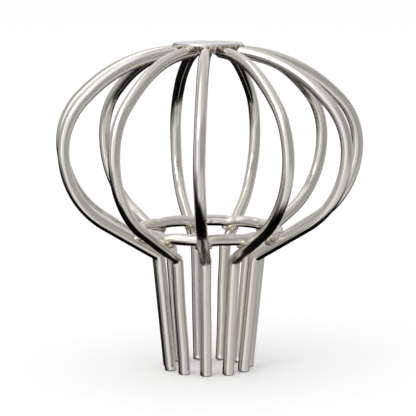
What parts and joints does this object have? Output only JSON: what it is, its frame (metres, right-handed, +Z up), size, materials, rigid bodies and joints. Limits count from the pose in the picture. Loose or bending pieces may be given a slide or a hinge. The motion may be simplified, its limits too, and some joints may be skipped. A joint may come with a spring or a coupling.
{
  "type": "wire balloon guard",
  "caption": "Open onion-shaped cage of bent round wires, welded under a flat cap disc and to a hoop above a narrow ring of straight open legs.",
  "frame": {"origin": "on the cage's axis, at the level of the lowest leg tips, which it stands on", "axes": "+Z up along the cage's axis towards the cap disc; -Y through wire_01, the front wire; +X to the right seen from the front"},
  "size_m": [0.1072, 0.1061, 0.1135],
  "materials": {
    "wire_steel": "bright drawn and polished stainless steel wire",
    "cap_steel": "satin polished stainless steel sheet",
    "weld_metal": "weld beads with a faint straw heat tint"
  },
  "bodies": {
    "root": {"wire_01": "wire_steel", "wire_02": "wire_steel", "wire_03": "wire_steel", "wire_04": "wire_steel", "wire_05": "wire_steel", "wire_06": "wire_steel", "wire_07": "wire_steel", "wire_08": "wire_steel", "wire_09": "wire_steel", "wire_10": "wire_steel", "wire_11": "wire_steel", "cap_disc": "cap_steel", "neck_hoop": "wire_steel", "cap_weld_01": "weld_metal", "cap_weld_02": "weld_metal", "cap_weld_03": "weld_metal", "cap_weld_04": "weld_metal", "cap_weld_05": "weld_metal", "cap_weld_06": "weld_metal", "cap_weld_07": "weld_metal", "cap_weld_08": "weld_metal", "cap_weld_09": "weld_metal", "cap_weld_10": "weld_metal", "cap_weld_11": "weld_metal", "hoop_weld_01": "weld_metal", "hoop_weld_02": "weld_metal", "hoop_weld_03": "weld_metal", "hoop_weld_04": "weld_metal", "hoop_weld_05": "weld_metal", "hoop_weld_06": "weld_metal", "hoop_weld_07": "weld_metal", "hoop_weld_08": "weld_metal", "hoop_weld_09": "weld_metal", "hoop_weld_10": "weld_metal", "hoop_weld_11": "weld_metal", "hoop_butt_weld": "weld_metal"}
  },
  "joints": []
}
